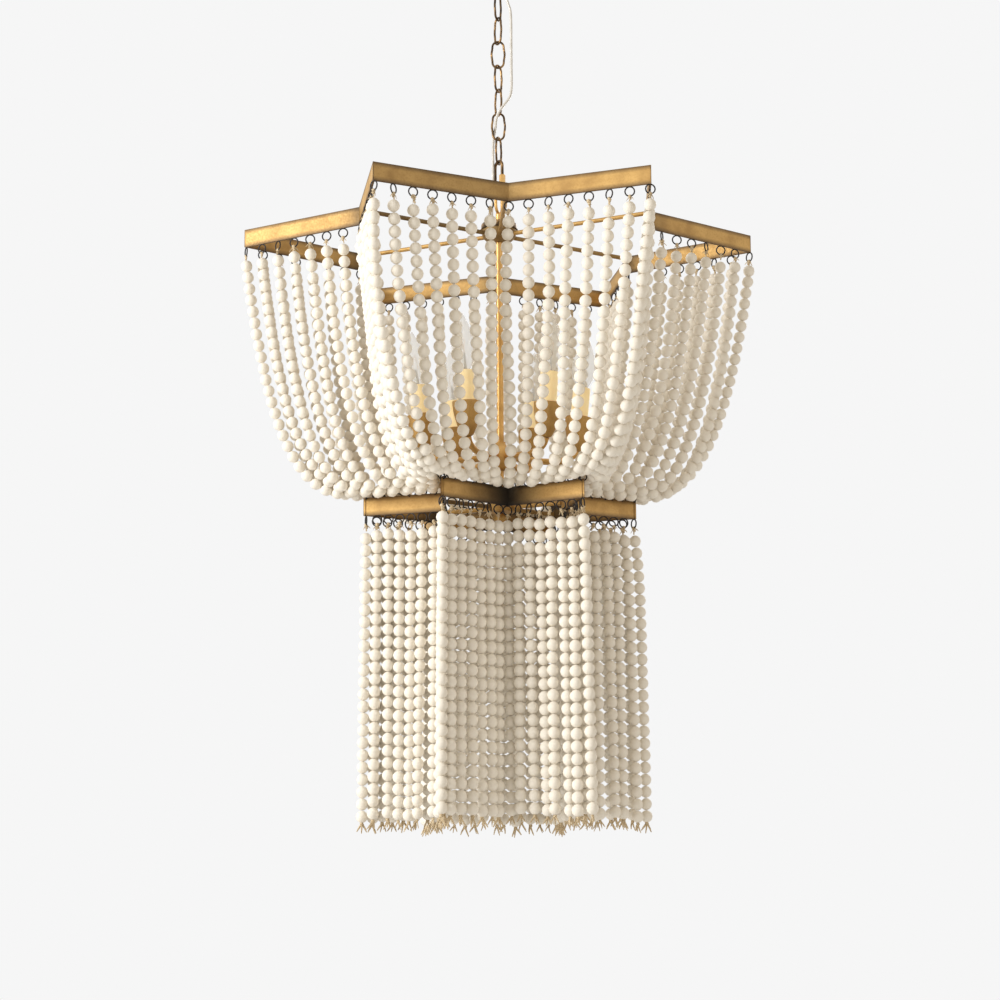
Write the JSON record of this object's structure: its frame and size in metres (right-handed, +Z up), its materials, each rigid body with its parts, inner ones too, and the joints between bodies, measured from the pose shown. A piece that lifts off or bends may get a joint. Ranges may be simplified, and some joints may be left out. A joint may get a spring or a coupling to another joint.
{
  "type": "beaded_chandelier",
  "caption": "Hanging light with two six-pointed star frames of gold strap, draped swags of wooden beads between them, a straight bead fringe and candle lamps, on a chain",
  "frame": {"origin": "Middle of the top face of the mounting strap, on the ceiling", "axes": "+Z up, +X toward one tip of the upper star, -Y toward the notch that faces the viewer"},
  "size_m": [0.721, 0.6248, 1.2619],
  "materials": {
    "antique_gold": "mottled antique gold with darker edges",
    "dark_bronze": "dark bronze, satin",
    "plated_steel": "zinc plated",
    "whitewashed_wood": "matte whitewash over pale wood",
    "cream_sleeve": "matte cream",
    "clear_glass": "clear",
    "clear_plastic": "translucent ivory"
  },
  "bodies": {
    "ceiling_fitting": {"mounting_strap": "plated_steel", "mounting_screw_left": "plated_steel", "mounting_screw_right": "plated_steel", "canopy": "dark_bronze", "collar_loop": "dark_bronze", "ring_nut": "dark_bronze", "ceiling_strain_relief": "clear_plastic", "power_cord": "clear_plastic"},
    "link_1": {"chain_link_1": "dark_bronze"},
    "link_2": {"chain_link_2": "dark_bronze"},
    "link_3": {"chain_link_3": "dark_bronze"},
    "link_4": {"chain_link_4": "dark_bronze"},
    "link_5": {"chain_link_5": "dark_bronze"},
    "link_6": {"chain_link_6": "dark_bronze"},
    "link_7": {"chain_link_7": "dark_bronze"},
    "link_8": {"chain_link_8": "dark_bronze"},
    "connector": {"quick_link": "dark_bronze", "quick_link_sleeve": "antique_gold"},
    "light": {"hub_loop": "antique_gold", "hub_cap": "dark_bronze", "upper_spider": "antique_gold", "upper_star": "antique_gold", "lower_star": "antique_gold", "stem_upper": "antique_gold", "light_arms": "antique_gold", "socket_cup_1": "antique_gold", "candle_1": "cream_sleeve", "bulb_1": "clear_glass", "socket_cup_2": "antique_gold", "candle_2": "cream_sleeve", "bulb_2": "clear_glass", "socket_cup_3": "antique_gold", "candle_3": "cream_sleeve", "bulb_3": "clear_glass", "socket_cup_4": "antique_gold", "candle_4": "cream_sleeve", "bulb_4": "clear_glass", "socket_cup_5": "antique_gold", "candle_5": "cream_sleeve", "bulb_5": "clear_glass", "socket_cup_6": "antique_gold", "candle_6": "cream_sleeve", "bulb_6": "clear_glass", "lower_spider": "antique_gold", "stem_lower": "antique_gold", "finial": "antique_gold", "swag_1": "whitewashed_wood", "swag_2": "whitewashed_wood", "swag_3": "whitewashed_wood", "swag_4": "whitewashed_wood", "swag_5": "whitewashed_wood", "swag_6": "whitewashed_wood", "fringe_1": "whitewashed_wood", "fringe_2": "whitewashed_wood", "fringe_3": "whitewashed_wood", "fringe_4": "whitewashed_wood", "fringe_5": "whitewashed_wood", "fringe_6": "whitewashed_wood", "hub_strain_relief": "clear_plastic"}
  },
  "joints": [
    {"name": "loop_to_link_1", "type": "hinge", "parent": "ceiling_fitting", "child": "link_1", "pos_m": [0, 0, -0.06], "axis": [-0.4848, 0.8746, 0], "range_deg": [-25, 25], "deforming": ["power_cord"]},
    {"name": "link_1_to_link_2", "type": "hinge", "parent": "link_1", "child": "link_2", "pos_m": [0, 0, -0.09515], "axis": [0.9998, -0.0175, 0], "range_deg": [-25, 25], "deforming": ["power_cord"]},
    {"name": "link_2_to_link_3", "type": "hinge", "parent": "link_2", "child": "link_3", "pos_m": [0, 0, -0.1308], "axis": [-0.515, -0.8572, 0], "range_deg": [-25, 25], "deforming": ["power_cord"]},
    {"name": "link_3_to_link_4", "type": "hinge", "parent": "link_3", "child": "link_4", "pos_m": [0, 0, -0.16645], "axis": [0.454, -0.891, 0], "range_deg": [-25, 25], "deforming": ["power_cord"]},
    {"name": "link_4_to_link_5", "type": "hinge", "parent": "link_4", "child": "link_5", "pos_m": [0, 0, -0.2021], "axis": [-0.9986, 0.0523, 0], "range_deg": [-25, 25], "deforming": ["power_cord"]},
    {"name": "link_5_to_link_6", "type": "hinge", "parent": "link_5", "child": "link_6", "pos_m": [0, 0, -0.23775], "axis": [0.5736, 0.8192, 0], "range_deg": [-25, 25], "deforming": ["power_cord"]},
    {"name": "link_6_to_link_7", "type": "hinge", "parent": "link_6", "child": "link_7", "pos_m": [0, 0, -0.2734], "axis": [-0.4226, 0.9063, 0], "range_deg": [-25, 25], "deforming": ["power_cord"]},
    {"name": "link_7_to_link_8", "type": "hinge", "parent": "link_7", "child": "link_8", "pos_m": [0, 0, -0.30905], "axis": [0.9986, -0.0523, 0], "range_deg": [-25, 25], "deforming": ["power_cord"]},
    {"name": "link_8_to_connector", "type": "hinge", "parent": "link_8", "child": "connector", "pos_m": [0, 0, -0.3447], "axis": [-0.454, -0.891, 0], "range_deg": [-25, 25], "deforming": ["power_cord"]},
    {"name": "connector_to_light", "type": "hinge", "parent": "connector", "child": "light", "pos_m": [0, 0, -0.38825], "axis": [-0.5446, 0.8387, 0], "range_deg": [-25, 25], "deforming": ["power_cord"]}
  ]
}
